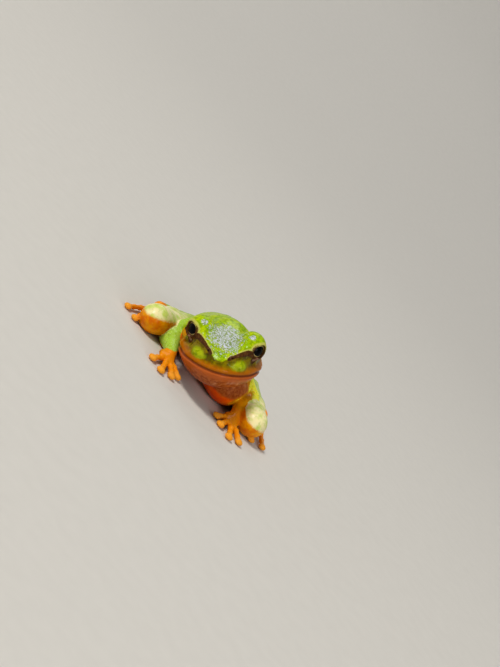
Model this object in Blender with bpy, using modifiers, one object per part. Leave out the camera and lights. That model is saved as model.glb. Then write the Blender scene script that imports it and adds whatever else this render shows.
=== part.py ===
"""A tree frog at rest, life size: a still model for a museum case.

The frog faces -Y with +Z up and its left side towards +X, and it sits on the plane z = 0.
All sizes below are millimetres. The last step scales every node to metres.
The body is one loft from snout to vent, whose sections roll: the pelvis lies level and the
head is held 28 degrees over to the frog's right, as a frog does to keep its head level on a slope,
and turned 8 degrees to its left.
Limbs are tapered tubes with muscles. Each joint is parted by one plane with a thin gap.
"""

import math

import bmesh
import bpy
import numpy as np
from mathutils import Matrix, Vector

METRES_PER_MM = 0.001
GAP = 0.3
HALF_GAP = GAP / 2

# Where the eyes are and how the head is turned.
EYE_MIDDLE = Vector((0.0, 0.0, 8.9))
HEAD_ROLL = 27.7
HEAD_PITCH = 3.7
HEAD_YAW = 8.0
NECK_FRONT = 1.5
NECK_LENGTH = 8.5
EYE_SPREAD = 3.95
EYE_RADIUS = 1.5
LID_THICKNESS = 0.4
GAZE_AZIMUTH = 52.0
GAZE_ELEVATION = 4.0
EYE_OPENING = (1.3, 1.12)
LIP_DROP = 3.2

# The head's plan and profile, snout to jaw angle: how far forward of the eyes, half width at the
# lips, height above the lips, depth of the lower jaw, squareness of the top, narrowing of the top.
HEAD_STATIONS = [
    (6.25, 0.30, 0.30, 0.25, 2.2, 0.10),
    (6.10, 1.15, 1.00, 0.85, 2.3, 0.15),
    (5.75, 2.00, 1.60, 1.50, 2.5, 0.25),
    (5.10, 3.00, 2.25, 2.15, 2.7, 0.34),
    (4.20, 3.95, 2.90, 2.75, 2.9, 0.40),
    (3.00, 4.90, 3.60, 3.25, 3.0, 0.42),
    (1.50, 5.55, 4.15, 3.55, 2.9, 0.44),
    (0.00, 5.95, 4.55, 3.75, 2.7, 0.44),
    (-2.00, 6.20, 4.85, 4.00, 2.4, 0.42),
    (-4.00, 6.15, 5.10, 4.30, 2.2, 0.40),
]

# The trunk, neck to vent: y, centre x and z, roll, half width, height above and depth below
# the centre, squareness, narrowing of the top.
TRUNK_STATIONS = [
    (6.2, 0.50, 6.25, 26.0, 5.90, 4.60, 4.80, 2.2, 0.34),
    (8.8, 0.05, 5.80, 20.5, 5.80, 4.50, 5.10, 2.3, 0.26),
    (12.6, -0.25, 5.00, 12.0, 5.85, 4.30, 4.95, 2.3, 0.16),
    (16.5, 0.10, 4.35, 10.0, 6.05, 3.95, 4.70, 2.1, 0.08),
    (20.5, 0.70, 3.95, 5.0, 5.50, 3.65, 4.25, 2.2, 0.06),
    (24.5, 0.80, 3.60, 4.0, 4.40, 2.95, 3.30, 2.2, 0.08),
    (27.5, 0.85, 3.30, 3.0, 3.35, 2.20, 2.50, 2.1, 0.05),
    (29.5, 0.85, 3.05, 3.0, 2.25, 1.50, 1.70, 2.0, 0.0),
    (30.7, 0.85, 2.90, 3.0, 1.15, 0.80, 0.90, 2.0, 0.0),
    (31.1, 0.85, 2.85, 3.0, 0.30, 0.20, 0.20, 2.0, 0.0),
]
UNDERSIDE_SQUARENESS = 1.9

# The chest's weight settles on the ground between the arms.
CHEST_CENTRE = (3.5, 8.7, 3.2)
CHEST_RADII = (5.3, 6.3, 3.2)

# Joints of the limbs, for the frog's left and right side.
SHOULDER = {"left": (5.0, 7.8, 5.4), "right": (-4.2, 8.2, 5.2)}
ELBOW = {"left": (8.9, 8.8, 3.4), "right": (-6.5, 8.4, 1.55)}
WRIST = {"left": (9.2, 3.8, 1.3), "right": (-4.0, 1.6, 1.15)}
HIP = {"left": (3.5, 23.7, 2.5), "right": (-2.0, 24.0, 2.5)}
KNEE = {"left": (11.7, 4.3, 2.25), "right": (-9.4, 4.4, 2.15)}
HEEL = {"left": (8.4, 24.0, 1.6), "right": (-5.9, 23.4, 1.6)}
ANKLE = {"left": (12.6, 17.6, 1.05), "right": (-10.8, 16.6, 1.05)}

UPPER_ARM_RADII = (1.75, 1.6, 1.5)
FOREARM_RADII = (1.5, 1.6, 0.95)
THIGH_RADII = (2.0, 1.95, 2.0)
SHANK_RADII = (1.95, 1.9, 1.1)
TARSUS_RADII = (1.15, 1.0, 0.95)

# Hands and feet: the way they point, degrees from straight ahead and towards the midline if
# negative, then for each digit its fan angle, its length from the wrist or ankle and the share
# of it that is palm or sole.
HAND_HEADING = {"left": 2.0, "right": -14.0}
FINGERS = [(-29.0, 5.2, 0.42), (-10.0, 6.6, 0.38), (8.0, 8.0, 0.36), (27.0, 6.7, 0.38)]
FOOT_HEADING = {"left": 1.0, "right": 0.0}
TOES = [
    (-14.0, 7.8, 0.48),
    (-8.0, 10.0, 0.42),
    (-3.0, 12.2, 0.38),
    (3.0, 13.4, 0.36),
    (15.0, 12.0, 0.40),
]
FINGER_RADIUS = 0.41
TOE_RADIUS = 0.38
FINGER_DISC = 0.76
TOE_DISC = 0.68
DISC_THICKNESS = 0.42
DIGIT_HEIGHT = 0.34
WEB_THICKNESS = 0.5
WEB_REACH = 0.58
WEB_SCALLOP = 0.44

# Material colours: name, base colour, roughness.
SKIN_GREEN = ("green_skin", (0.38, 0.50, 0.03), 0.45)
SKIN_YELLOW = ("yellow_green_skin", (0.55, 0.55, 0.06), 0.45)
SKIN_ORANGE = ("orange_skin", (0.72, 0.26, 0.03), 0.5)
THROAT_SKIN = ("throat_skin", (0.55, 0.24, 0.10), 0.55)
EYE_BLACK = ("dark_eye", (0.02, 0.015, 0.01), 0.1)


def head_axes(yaw=HEAD_YAW):
    """Unit vectors to the frog's left, forwards and up out of its crown."""
    turn = Matrix.Rotation(math.radians(yaw), 3, "Z")
    turn = turn @ Matrix.Rotation(math.radians(HEAD_PITCH), 3, "X")
    turn = turn @ Matrix.Rotation(-math.radians(HEAD_ROLL), 3, "Y")
    return turn @ Vector((1, 0, 0)), turn @ Vector((0, -1, 0)), turn @ Vector((0, 0, 1))


def in_head(left, forward, up):
    """A point given from the middle of the eyes, in the head's own directions."""
    to_left, ahead, to_crown = head_axes()
    return EYE_MIDDLE + left * to_left + forward * ahead + up * to_crown


def before_yaw(forward):
    """The middle of the head's section so far forward, before the head is turned."""
    _, ahead, to_crown = head_axes(0.0)
    return EYE_MIDDLE + forward * ahead - LIP_DROP * to_crown


def turned(point):
    """Turns a place with the head. The turn fades through the neck to none at the trunk."""
    fade = min(max((point.y - NECK_FRONT) / NECK_LENGTH, 0), 1)
    yaw = math.radians(HEAD_YAW) * (1 - fade * fade * (3 - 2 * fade))
    return Matrix.Rotation(yaw, 3, "Z") @ point


def body_stations():
    """One table for the whole body, snout to vent, in rising y."""
    rows = []
    for forward, width, top, bottom, square, narrow in HEAD_STATIONS:
        centre = before_yaw(forward)
        rows.append(
            (centre.y, centre.x, centre.z, HEAD_ROLL, width, top, bottom, square, narrow)
        )
    return np.array(rows + TRUNK_STATIONS)


def smooth_rows(table, where):
    """The table's columns at each place in its first column, by a cubic that keeps their rise."""
    x, values = table[:, 0], table[:, 1:]
    step = np.diff(x)[:, None]
    slope = np.diff(values, axis=0) / step
    tangent = np.zeros_like(values)
    same_way = slope[:-1] * slope[1:] > 0
    mean = (slope[:-1] + slope[1:]) / 2
    smaller = np.minimum(abs(slope[:-1]), abs(slope[1:]))
    tangent[1:-1] = np.where(same_way, np.sign(mean) * np.minimum(abs(mean), 3 * smaller), 0)
    tangent[0], tangent[-1] = slope[0], slope[-1]
    i = np.clip(np.searchsorted(x, where) - 1, 0, len(x) - 2)
    t = ((where - x[i]) / (x[i + 1] - x[i]))[:, None]
    h = step[i]
    return (
        values[i] * (1 + 2 * t) * (1 - t) ** 2
        + tangent[i] * h * t * (1 - t) ** 2
        + values[i + 1] * t * t * (3 - 2 * t)
        + tangent[i + 1] * h * t * t * (t - 1)
    )


def section(y, angles, grow=0.0):
    """Points of the body's section at y. Angle 0 is the frog's left, 90 degrees its back."""
    row = smooth_rows(body_stations(), np.array([y]))[0]
    centre_x, centre_z, roll, width, top, bottom, square, narrow = row
    roll = math.radians(roll)
    points = []
    for angle in angles:
        c, s = math.cos(angle), math.sin(angle)
        exponent = 2 / square if s > 0 else 2 / UNDERSIDE_SQUARENESS
        height = (top if s > 0 else bottom) + grow
        across = (width + grow) * math.copysign(abs(c) ** exponent, c)
        up = height * math.copysign(abs(s) ** exponent, s)
        across *= 1 - narrow * max(up, 0) / height
        x = centre_x + across * math.cos(roll) - up * math.sin(roll)
        z = centre_z + across * math.sin(roll) + up * math.cos(roll)
        points.append(turned(Vector((x, y, z))))
    return points


def collection(name):
    made = bpy.data.collections.new(name)
    bpy.context.scene.collection.children.link(made)
    return made


def material(name, colour, roughness):
    found = bpy.data.materials.get(name)
    if found:
        return found
    made = bpy.data.materials.new(name)
    made.use_nodes = True
    shader = made.node_tree.nodes["Principled BSDF"]
    shader.inputs["Base Color"].default_value = (*colour, 1)
    shader.inputs["Roughness"].default_value = roughness
    made.diffuse_color = (*colour, 1)
    return made


def new_object(name, mesh):
    obj = bpy.data.objects.new(name, mesh)
    PARTS.objects.link(obj)
    return obj


def evaluated_mesh(obj):
    graph = bpy.context.evaluated_depsgraph_get()
    mesh = bpy.data.meshes.new_from_object(obj.evaluated_get(graph))
    mesh.transform(obj.matrix_world)
    return mesh


def finish_modifiers(obj):
    """Applies the modifiers of a mesh object."""
    mesh = evaluated_mesh(obj)
    obj.modifiers.clear()
    obj.matrix_world = Matrix.Identity(4)
    obj.data = mesh


def loft(name, rings):
    """A closed tube through rings of points, with its two ends closed to a point."""
    shape = bmesh.new()
    loops = [[shape.verts.new(point) for point in ring] for ring in rings]
    for first, second in zip(loops, loops[1:]):
        for i in range(len(first)):
            j = (i + 1) % len(first)
            shape.faces.new((first[i], first[j], second[j], second[i]))
    shape.faces.new(loops[0][::-1])
    shape.faces.new(loops[-1])
    bmesh.ops.recalc_face_normals(shape, faces=shape.faces)
    mesh = bpy.data.meshes.new(name)
    shape.to_mesh(mesh)
    shape.free()
    return new_object(name, mesh)


def ball(name, centre, radii, turn=None):
    """An ellipsoid from a UV sphere."""
    shape = bmesh.new()
    bmesh.ops.create_uvsphere(shape, u_segments=20, v_segments=12, radius=1.0)
    rotation = turn.to_4x4() if turn else Matrix.Identity(4)
    place = Matrix.Translation(centre) @ rotation @ Matrix.Diagonal((*radii, 1))
    bmesh.ops.transform(shape, matrix=place, verts=shape.verts)
    mesh = bpy.data.meshes.new(name)
    shape.to_mesh(mesh)
    shape.free()
    return new_object(name, mesh)


def tube(name, points, radii, sides=3, steps=6):
    """A round tapered tube through points, as a mesh made from a bevelled curve."""
    curve = bpy.data.curves.new(name, "CURVE")
    curve.dimensions = "3D"
    curve.bevel_depth = 1.0
    curve.bevel_resolution = sides
    curve.resolution_u = steps
    curve.use_fill_caps = True
    spline = curve.splines.new("BEZIER")
    spline.bezier_points.add(len(points) - 1)
    for knot, point, radius in zip(spline.bezier_points, points, radii):
        knot.co = point
        knot.radius = radius
        knot.handle_left_type = knot.handle_right_type = "AUTO"
    guide = bpy.data.objects.new(name, curve)
    PARTS.objects.link(guide)
    bpy.context.view_layer.update()
    mesh = welded(evaluated_mesh(guide))
    bpy.data.objects.remove(guide)
    return new_object(name, mesh)


def welded(mesh):
    """Joins a curve's loose end caps to its wall."""
    shape = bmesh.new()
    shape.from_mesh(mesh)
    bmesh.ops.remove_doubles(shape, verts=shape.verts, dist=1e-4)
    bmesh.ops.recalc_face_normals(shape, faces=shape.faces)
    shape.to_mesh(mesh)
    shape.free()
    return mesh


def fuse(name, pieces, voxel, rounds, triangles=0):
    """Joins overlapping pieces to one closed skin, softens it and thins it to a triangle count."""
    shape = bmesh.new()
    for piece in pieces:
        shape.from_mesh(piece.data)
        bpy.data.objects.remove(piece)
    mesh = bpy.data.meshes.new(name)
    shape.to_mesh(mesh)
    shape.free()
    obj = new_object(name, mesh)
    remesh = obj.modifiers.new("skin", "REMESH")
    remesh.mode = "VOXEL"
    remesh.voxel_size = voxel
    soften = obj.modifiers.new("soften", "SMOOTH")
    soften.factor = 0.5
    soften.iterations = rounds
    finish_modifiers(obj)
    if triangles:
        thin(obj, triangles)
    return obj


def thin(obj, triangles):
    """Thins a mesh of quads to a triangle count."""
    fewer = obj.modifiers.new("fewer", "DECIMATE")
    fewer.ratio = triangles / (2 * len(obj.data.polygons))
    finish_modifiers(obj)


def largest_body(obj):
    """Keeps the largest closed surface and drops scraps."""
    shape = bmesh.new()
    shape.from_mesh(obj.data)
    left = set(shape.verts)
    bodies = []
    while left:
        seen = {left.pop()}
        edge = list(seen)
        while edge:
            vertex = edge.pop()
            for link in vertex.link_edges:
                other = link.other_vert(vertex)
                if other not in seen:
                    seen.add(other)
                    edge.append(other)
        left -= seen
        bodies.append(seen)
    bodies.sort(key=len)
    scraps = [vertex for body in bodies[:-1] for vertex in body]
    bmesh.ops.delete(shape, geom=scraps, context="VERTS")
    shape.to_mesh(obj.data)
    shape.free()


def keep_side(obj, point, normal):
    """Cuts the object at a plane and keeps the side that the normal points to."""
    shape = bmesh.new()
    shape.from_mesh(obj.data)
    everything = shape.verts[:] + shape.edges[:] + shape.faces[:]
    bmesh.ops.bisect_plane(
        shape, geom=everything, plane_co=point, plane_no=normal, clear_inner=True, dist=1e-4
    )
    rim = [edge for edge in shape.edges if edge.is_boundary]
    bmesh.ops.holes_fill(shape, edges=rim, sides=0)
    bmesh.ops.triangulate(shape, faces=shape.faces)
    bmesh.ops.recalc_face_normals(shape, faces=shape.faces)
    shape.to_mesh(obj.data)
    shape.free()
    largest_body(obj)


def carve(obj, cutter, folded=False):
    """Takes the cutter's shape out of the object; a folded cutter crosses its own surface."""
    cutter.hide_render = True
    cutter.display_type = "WIRE"
    cut = obj.modifiers.new("cut", "BOOLEAN")
    cut.operation = "DIFFERENCE"
    cut.use_self = folded
    cut.object = cutter
    finish_modifiers(obj)
    bpy.data.objects.remove(cutter)
    largest_body(obj)


def trim_against(obj, neighbour):
    """Cuts a limb back so that it meets the body face to face, a thin gap away."""
    grown = neighbour.copy()
    grown.data = neighbour.data.copy()
    CUTTERS.objects.link(grown)
    swell = grown.modifiers.new("swell", "DISPLACE")
    swell.strength = GAP
    swell.mid_level = 0.0
    finish_modifiers(grown)
    carve(obj, grown, True)


def copy_of(obj, name):
    made = new_object(name, obj.data.copy())
    return made


def joint_plane(before, at, after):
    """The plane that parts two limb bones: it holds the joint and halves the angle there."""
    to_before = (Vector(before) - Vector(at)).normalized()
    to_after = (Vector(after) - Vector(at)).normalized()
    return Vector(at), (to_after - to_before).normalized()


def limb(name, start, end, radii, muscles=()):
    """A limb bone's flesh: a tapered tube, rounded at both joints, with its muscles."""
    start, end = Vector(start), Vector(end)
    middle = start.lerp(end, 0.5)
    pieces = [tube(name + "_tube", (start, middle, end), radii)]
    pieces.append(ball(name + "_start", start, (radii[0],) * 3))
    pieces.append(ball(name + "_end", end, (radii[-1],) * 3))
    along = (end - start).to_track_quat("Y", "Z").to_matrix()
    for share, offset, size in muscles:
        place = start.lerp(end, share) + Vector(offset)
        pieces.append(ball(name + "_muscle", place, size, along))
    return pieces


def digit_paths(root, heading, side, digits):
    """For each finger or toe, points on the floor from the wrist or ankle out to the tip."""
    outward = 1 if side == "left" else -1
    root = Vector(root)
    paths = []
    for fan, length, palm in digits:
        base_turn = math.radians(heading + 0.45 * fan) * outward
        tip_turn = math.radians(heading + 1.15 * fan) * outward
        first = Vector((math.sin(base_turn), -math.cos(base_turn), 0))
        second = Vector((math.sin(tip_turn), -math.cos(tip_turn), 0))
        knuckle = root + first * length * palm
        bend = knuckle + second * length * (1 - palm) * 0.5
        tip = knuckle + second * length * (1 - palm)
        start = root + first * 0.4
        paths.append(
            (
                start,
                Vector((knuckle.x, knuckle.y, DIGIT_HEIGHT + 0.15)),
                Vector((bend.x, bend.y, DIGIT_HEIGHT + 0.12)),
                Vector((tip.x, tip.y, DIGIT_HEIGHT)),
            )
        )
    return paths


def splayed(name, paths, radius, disc, palm_radius):
    """The digits of a hand or foot, each ending in its round sticky disc."""
    pieces = []
    for path in paths:
        radii = (palm_radius, radius * 1.25, radius, radius * 0.85)
        pieces.append(tube(name + "_digit", path, radii))
        size = (disc, disc, DISC_THICKNESS)
        pieces.append(ball(name + "_disc", path[-1], size))
        pieces.append(ball(name + "_knuckle", path[2], (radius * 1.15,) * 3))
    return pieces


def web(name, paths):
    """The thin skin between the toes, hollowed out between each two."""
    root = sum((path[0] for path in paths), Vector()) / len(paths)
    rim = [Vector((root.x, root.y, 0))]
    for i, path in enumerate(paths):
        rim.append(path[0].lerp(path[-1], WEB_REACH))
        if i + 1 < len(paths):
            between = (path[-1] + paths[i + 1][-1]) / 2
            rim.append(root.lerp(between, WEB_SCALLOP))
    curve = bpy.data.curves.new(name, "CURVE")
    curve.dimensions = "2D"
    curve.fill_mode = "BOTH"
    curve.extrude = WEB_THICKNESS / 2
    spline = curve.splines.new("POLY")
    spline.points.add(len(rim) - 1)
    for point, place in zip(spline.points, rim):
        point.co = (place.x, place.y, 0, 1)
    spline.use_cyclic_u = True
    guide = bpy.data.objects.new(name, curve)
    guide.location.z = WEB_THICKNESS / 2
    PARTS.objects.link(guide)
    bpy.context.view_layer.update()
    mesh = welded(evaluated_mesh(guide))
    bpy.data.objects.remove(guide)
    return new_object(name, mesh)


def around(count):
    return [2 * math.pi * i / count for i in range(count)]


def body_pieces():
    """Head, neck and trunk as one loft, with the swellings that stand out of it."""
    table = body_stations()
    front, back = table[0, 0], table[-1, 0]
    places = np.concatenate(
        (np.linspace(front, front + 1.2, 7), np.linspace(front + 1.7, back, 52))
    )
    pieces = [loft("trunk", [section(y, around(48)) for y in places])]
    pieces.append(ball("chest", CHEST_CENTRE, CHEST_RADII))
    shell = EYE_RADIUS + GAP + LID_THICKNESS
    for side in (1, -1):
        eye = in_head(side * EYE_SPREAD, 0, 0)
        pieces.append(ball("eye_bulge", eye, (shell,) * 3))
        pieces.append(ball("brow", eye + 0.35 * head_axes()[2], (shell - 0.1,) * 3))
        behind = in_head(side * (EYE_SPREAD - 0.3), -1.7, -0.3)
        pieces.append(ball("temple", behind, (1.9, 1.9, 1.7)))
        ear = in_head(side * 5.25, -3.2, -1.45)
        pieces.append(ball("eardrum", ear, (0.95, 0.95, 0.95)))
        ridge = [
            in_head(side * 4.75, -1.9, 0.2),
            in_head(side * 5.15, -3.4, -0.25),
            in_head(side * 5.5, -4.8, -1.3),
        ]
        pieces.append(tube("fold", ridge, (0.5, 0.55, 0.4)))
        snout = [
            in_head(side * 3.3, 1.9, -0.4),
            in_head(side * 2.6, 3.4, -0.8),
            in_head(side * 1.7, 4.6, -1.35),
        ]
        pieces.append(tube("canthus", snout, (0.75, 0.62, 0.5)))
        pieces.append(ball("nostril_rim", in_head(side * 1.7, 4.6, -1.3), (0.6,) * 3))
    return pieces


def lip_line(shift, inset, reach):
    """Points round the mouth, left corner to right, so far above the mouth and inside the skin."""
    points = []
    steps = [reach, -1.0, 0.4, 1.8, 3.0, 4.1, 4.9, 5.5, 5.9]
    for forward in steps + [6.12] + steps[::-1]:
        left = len(points) < len(steps)
        droop = -0.13 * min(max(0.8 - forward, 0), 3) / 3
        angle = droop + shift / 5.0
        y = before_yaw(forward).y
        middle = len(points) == len(steps)
        turn = -math.pi / 2 if middle else (angle if left else math.pi - angle)
        if middle:
            point = in_head(0, 6.2 - inset, -LIP_DROP + shift)
        else:
            point = section(y, [turn], -inset)[0]
        points.append(point)
    return points


def build_body():
    """Fuses the body, parts head from torso, and carves the head's openings."""
    pieces = body_pieces()
    pieces.append(tube("upper_lip", lip_line(0.5, 0.25, -2.2), [0.42] * 19))
    pieces.append(tube("lower_lip", lip_line(-0.5, 0.25, -2.2), [0.36] * 19))
    for side in ("left", "right"):
        pieces.append(ball("shoulder", Vector(SHOULDER[side]), (1.9, 2.1, 1.8)))
        pieces.append(ball("hip", Vector(HIP[side]), (2.6, 3.6, 2.2)))
    body = fuse("torso", pieces, 0.2, 4)
    neck = in_head(0, -4.9, 0)
    ahead = head_axes()[1]
    head = copy_of(body, "head")
    thin(head, HEAD_TRIANGLES)
    thin(body, TORSO_TRIANGLES)
    keep_side(head, neck + ahead * HALF_GAP, ahead)
    keep_side(body, neck - ahead * HALF_GAP, -ahead)
    keep_side(body, Vector((0, 0, 0)), Vector((0, 0, 1)))
    eyes = []
    for side, name in ((1, "left"), (-1, "right")):
        eyes.append(build_eye(head, side, name))
    groove = [0.06] + [0.2] * 17 + [0.06]
    carve(head, tube("mouth_cut", lip_line(0, 0.0, -2.4), groove, 1, 2))
    for side in (1, -1):
        inner = in_head(side * 1.3, 4.0, -1.25)
        outer = in_head(side * 2.3, 5.2, -1.0)
        carve(head, tube("nostril_cut", (inner, outer), (0.2, 0.26), 1, 1))
    return head, body, eyes


def build_eye(head, side, name):
    """An eyeball in its socket, with the lids' opening cut along the way that it looks."""
    to_left, ahead, to_crown = head_axes()
    azimuth, elevation = math.radians(GAZE_AZIMUTH), math.radians(GAZE_ELEVATION)
    look = to_left * side * math.sin(azimuth) + ahead * math.cos(azimuth)
    look = (look * math.cos(elevation) + to_crown * math.sin(elevation)).normalized()
    across = to_crown.cross(look).normalized()
    up = look.cross(across)
    turn = Matrix((across, up, look)).transposed()
    centre = in_head(side * EYE_SPREAD, 0, 0)
    socket = EYE_RADIUS + GAP
    wide, high = EYE_OPENING
    carve(head, ball("lid_cut", centre + look * 1.9, (wide, high, 1.9), turn))
    carve(head, ball("socket_cut", centre, (socket,) * 3))
    return ball("eye_" + name, centre, (EYE_RADIUS,) * 3, turn)


def build_arm(side, neighbours):
    """Upper arm, forearm and hand of one side, clear of the nodes that they press on."""
    shoulder, elbow, wrist = (Vector(table[side]) for table in (SHOULDER, ELBOW, WRIST))
    upper = limb("upper_arm", shoulder, elbow, UPPER_ARM_RADII)
    upper = fuse("upper_arm_" + side, upper, 0.2, 3, 420)
    fore = limb("forearm", elbow, wrist, FOREARM_RADII, [(0.35, (0, 0, 0.1), (1.5, 2.6, 1.5))])
    fore = fuse("forearm_" + side, fore, 0.2, 3, 460)
    paths = digit_paths(wrist, HAND_HEADING[side], side, FINGERS)
    palm = splayed("hand", paths, FINGER_RADIUS, FINGER_DISC, 0.75)
    palm.append(ball("palm", wrist + Vector((0, -1.4, -0.45)), (1.45, 2.0, 0.75)))
    palm.append(ball("wrist", wrist, (0.95,) * 3))
    hand = fuse("hand_" + side, palm, 0.13, 2, HAND_TRIANGLES)
    at, normal = joint_plane(shoulder, elbow, wrist)
    keep_side(upper, at - normal * HALF_GAP, -normal)
    keep_side(fore, at + normal * HALF_GAP, normal)
    tip = sum((path[-1] for path in paths), Vector()) / len(paths)
    at, normal = joint_plane(elbow, wrist, tip)
    keep_side(fore, at - normal * HALF_GAP, -normal)
    keep_side(hand, at + normal * HALF_GAP, normal)
    for node in (upper, fore, hand):
        for neighbour in neighbours:
            trim_against(node, neighbour)
        keep_side(node, Vector((0, 0, 0)), Vector((0, 0, 1)))
    return [upper, fore, hand]


def build_leg(side, body):
    """Thigh, shank, tarsus and foot of one side."""
    hip, knee, heel, ankle = (Vector(table[side]) for table in (HIP, KNEE, HEEL, ANKLE))
    calf = [(0.35, (0, 0, 0.1), (1.95, 4.6, 1.9))]
    thigh = limb("thigh", hip, knee, THIGH_RADII, [(0.45, (0, 0, 0.0), (2.7, 6.3, 1.95))])
    thigh = fuse("thigh_" + side, thigh, 0.2, 3, 700)
    shank = fuse("shank_" + side, limb("shank", knee, heel, SHANK_RADII, calf), 0.2, 3, 620)
    tarsus = fuse("tarsus_" + side, limb("tarsus", heel, ankle, TARSUS_RADII), 0.2, 3, 380)
    paths = digit_paths(ankle, FOOT_HEADING[side], side, TOES)
    sole = splayed("foot", paths, TOE_RADIUS, TOE_DISC, 0.7)
    sole.append(ball("sole", ankle + Vector((0, -2.2, -0.4)), (1.25, 3.2, 0.65)))
    sole.append(ball("ankle", ankle, (0.98,) * 3))
    sole.append(web("web", paths))
    foot = fuse("foot_" + side, sole, 0.13, 2, FOOT_TRIANGLES)
    at, normal = joint_plane(hip, knee, heel)
    keep_side(thigh, at - normal * HALF_GAP, -normal)
    keep_side(shank, at + normal * HALF_GAP, normal)
    at, normal = joint_plane(knee, heel, ankle)
    keep_side(shank, at - normal * HALF_GAP, -normal)
    keep_side(tarsus, at + normal * HALF_GAP, normal)
    tip = sum((path[-1] for path in paths), Vector()) / len(paths)
    at, normal = joint_plane(heel, ankle, tip)
    keep_side(tarsus, at - normal * HALF_GAP, -normal)
    keep_side(foot, at + normal * HALF_GAP, normal)
    nodes = [thigh, shank, tarsus, foot]
    for node in nodes:
        trim_against(node, body)
        keep_side(node, Vector((0, 0, 0)), Vector((0, 0, 1)))
    trim_against(foot, thigh)
    trim_against(foot, shank)
    trim_against(tarsus, thigh)
    return nodes


def finish(nodes):
    """Gives each node its skin, and puts the frame's origin under the middle of the frog."""
    low = Vector((1e9, 1e9, 1e9))
    high = -low
    for node, look in nodes:
        node.data.materials.clear()
        node.data.materials.append(material(*look))
        for vertex in node.data.vertices:
            low = Vector(map(min, low, vertex.co))
            high = Vector(map(max, high, vertex.co))
    middle = (low + high) / 2
    shift = Matrix.Translation((-middle.x, -middle.y, -low.z))
    scale = Matrix.Diagonal((METRES_PER_MM,) * 3 + (1,))
    for node, _ in nodes:
        node.data.transform(scale @ shift)
        node.data.name = node.name
        node.data.shade_smooth()
        node.data.set_sharp_from_angle(angle=math.radians(50))


HEAD_TRIANGLES = 5600
TORSO_TRIANGLES = 3000
HAND_TRIANGLES = 900
FOOT_TRIANGLES = 1250

for leftover in list(bpy.data.objects):
    bpy.data.objects.remove(leftover)
PARTS = collection("tree_frog")
CUTTERS = collection("cutters")

head, torso, eyes = build_body()
built = [(head, SKIN_GREEN), (torso, SKIN_GREEN)]
built += [(eye, EYE_BLACK) for eye in eyes]
for side in ("left", "right"):
    thigh, shank, tarsus, foot = build_leg(side, torso)
    built += [(thigh, SKIN_YELLOW), (shank, SKIN_YELLOW)]
    built += [(tarsus, SKIN_ORANGE), (foot, SKIN_ORANGE)]
    upper, fore, hand = build_arm(side, (torso, head, thigh, shank))
    built += [(upper, SKIN_YELLOW), (fore, SKIN_YELLOW), (hand, SKIN_ORANGE)]
finish(built)
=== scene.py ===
import math

import bmesh
import bpy
import numpy as np
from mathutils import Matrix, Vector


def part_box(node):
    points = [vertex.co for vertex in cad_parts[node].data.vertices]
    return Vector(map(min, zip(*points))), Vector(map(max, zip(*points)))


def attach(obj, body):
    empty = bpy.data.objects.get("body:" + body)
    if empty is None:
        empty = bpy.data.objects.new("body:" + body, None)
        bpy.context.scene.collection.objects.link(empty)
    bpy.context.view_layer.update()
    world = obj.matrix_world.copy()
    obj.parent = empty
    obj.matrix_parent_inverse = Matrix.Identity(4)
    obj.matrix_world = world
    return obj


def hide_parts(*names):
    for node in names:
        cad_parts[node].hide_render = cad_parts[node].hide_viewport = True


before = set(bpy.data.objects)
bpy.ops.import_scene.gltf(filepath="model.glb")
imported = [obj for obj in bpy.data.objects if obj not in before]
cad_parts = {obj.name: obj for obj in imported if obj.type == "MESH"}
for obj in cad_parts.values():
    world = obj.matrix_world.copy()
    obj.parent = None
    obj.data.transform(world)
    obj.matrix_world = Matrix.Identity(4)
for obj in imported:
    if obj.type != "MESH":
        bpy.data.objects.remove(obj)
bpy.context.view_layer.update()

import openvdb
from mathutils import Matrix, Vector

# The flesh under the skin. The frog is one continuous soft body with nothing sewn or fixed, so
# head, trunk and limbs are worked as a single form: for every point of a fine block of space the
# distance to the nearest flesh is found in millimetres, and the skin is laid where that is zero.
GRAIN = 0.15
BLOCK_LOW = np.array((-18.6, -8.4, -0.45))
BLOCK_HIGH = np.array((20.4, 32.2, 13.6))
FAR = 4.0
count = np.ceil((BLOCK_HIGH - BLOCK_LOW) / GRAIN).astype(int) + 1
rulers = [BLOCK_LOW[i] + GRAIN * np.arange(count[i]) for i in range(3)]


def cut_block(low, high):
    """The part of the block between two corners, and the coordinates of its points."""
    first = np.clip(((np.array(low) - BLOCK_LOW) / GRAIN).astype(int), 0, count - 2)
    last = np.clip(((np.array(high) - BLOCK_LOW) / GRAIN).astype(int) + 2, first + 2, count)
    part = tuple(slice(a, b) for a, b in zip(first, last))
    return part, np.meshgrid(*(r[s] for r, s in zip(rulers, part)), indexing="ij", sparse=True)


# Head and trunk: one barrel of soft flesh from snout to vent, which rolls and turns at the neck.
# It is given as a row of cross sections, and the form runs smoothly from one to the next.
HEAD_ROLL = 27.7
HEAD_PITCH = 3.7
HEAD_YAW = 8.0
NECK_FRONT = 1.5
NECK_LENGTH = 8.5
EYE_MIDDLE = np.array((0.0, 0.0, 8.9))
LIP_DROP = 3.2
UNDERSIDE_SQUARENESS = 1.9
BODY_CORNERS = ((-8.5, -8.2, -0.45), (10, 32.2, 13.6))
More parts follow.
